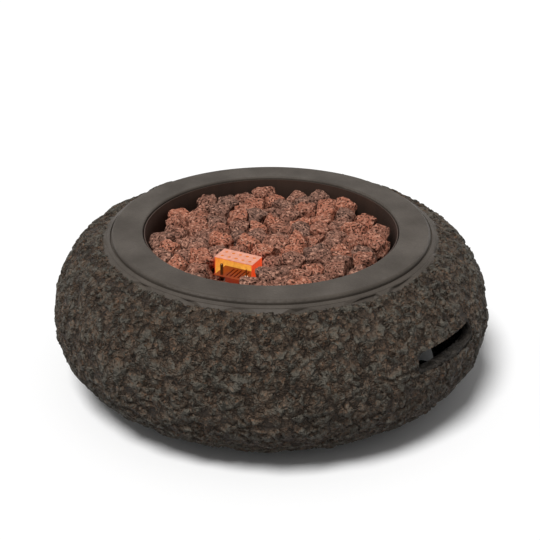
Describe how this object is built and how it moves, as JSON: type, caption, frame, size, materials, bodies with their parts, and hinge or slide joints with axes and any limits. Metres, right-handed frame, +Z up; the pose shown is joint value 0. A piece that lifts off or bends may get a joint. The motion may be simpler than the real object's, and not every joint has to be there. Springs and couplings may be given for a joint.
{
  "type": "propane fire pit",
  "caption": "Round cast-stone propane fire pit with a raised smooth rim, lava-rock burner bowl, guarded igniter, hand holds, recessed gas knob and push-button igniter, on rubber feet.",
  "frame": {"origin": "on the ground under the centre of the round body, at the bottom of the feet", "axes": "+Z up along the body's axis, X through the two hand holds, +Y towards the control panel"},
  "size_m": [0.69, 0.69, 0.25],
  "materials": {
    "cast_stone": "rough cast stone with a smooth rim",
    "lava": "pitted lava rock",
    "pan_steel": "heat-browned sheet steel",
    "zinc_steel": "zinc plated",
    "stainless": "satin",
    "hot_stainless": "red-hot sheet",
    "brass": "machined",
    "aluminium": "drawn tube",
    "valve_casting": "die cast",
    "ceramic": "unglazed",
    "silicone": "silicone sleeve",
    "copper": "copper capillary",
    "panel_paint": "black powder coat",
    "black_plastic": "matte",
    "rubber": "matte",
    "cell": "printed can"
  },
  "bodies": {
    "frame": {"stone_body": "cast_stone", "threaded_inserts": "brass", "rubber_feet": "rubber", "foot_screws": "zinc_steel", "burner_pan": "pan_steel", "pan_brackets": "zinc_steel", "pan_screws": "zinc_steel", "burner_ring": "stainless", "burner_nipple": "zinc_steel", "burner_locknut": "brass", "air_mixer": "brass", "gas_jet": "brass", "supply_tube": "aluminium", "flare_nut": "brass", "lava_rocks": "lava", "pilot_hood": "hot_stainless", "pilot_bracket": "hot_stainless", "pilot_screw": "zinc_steel", "electrode_ceramic": "ceramic", "electrode_rod": "stainless", "thermocouple": "stainless", "electrode_lead": "silicone", "thermocouple_lead": "copper", "lead_clips": "zinc_steel", "control_panel": "panel_paint", "panel_screws": "zinc_steel", "gas_valve": "valve_casting", "valve_screws": "zinc_steel", "valve_spring": "stainless", "magnet_unit": "brass", "inlet_fitting": "brass", "igniter_housing": "black_plastic", "igniter_nut": "black_plastic", "igniter_battery": "cell", "igniter_spring": "stainless"},
    "valve_plug": {"valve_plug": "brass"},
    "knob": {"control_knob": "black_plastic", "valve_stem": "zinc_steel"},
    "button": {"igniter_button": "black_plastic"}
  },
  "joints": [
    {"name": "knob_turn", "type": "hinge", "parent": "frame", "child": "valve_plug", "pos_m": [-0.04, 0.29, 0.112], "axis": [0, 1, 0], "range_deg": [0, 180]},
    {"name": "knob_push", "type": "slide", "parent": "valve_plug", "child": "knob", "axis": [0, -1, 0], "range_m": [0, 0.004], "stiffness_N_per_m": 900, "springref_m": -0.004, "deforming": ["valve_spring"]},
    {"name": "igniter_push", "type": "slide", "parent": "frame", "child": "button", "axis": [0, -1, 0], "range_m": [0, 0.003], "stiffness_N_per_m": 1000, "springref_m": -0.003, "deforming": ["igniter_spring"]}
  ]
}
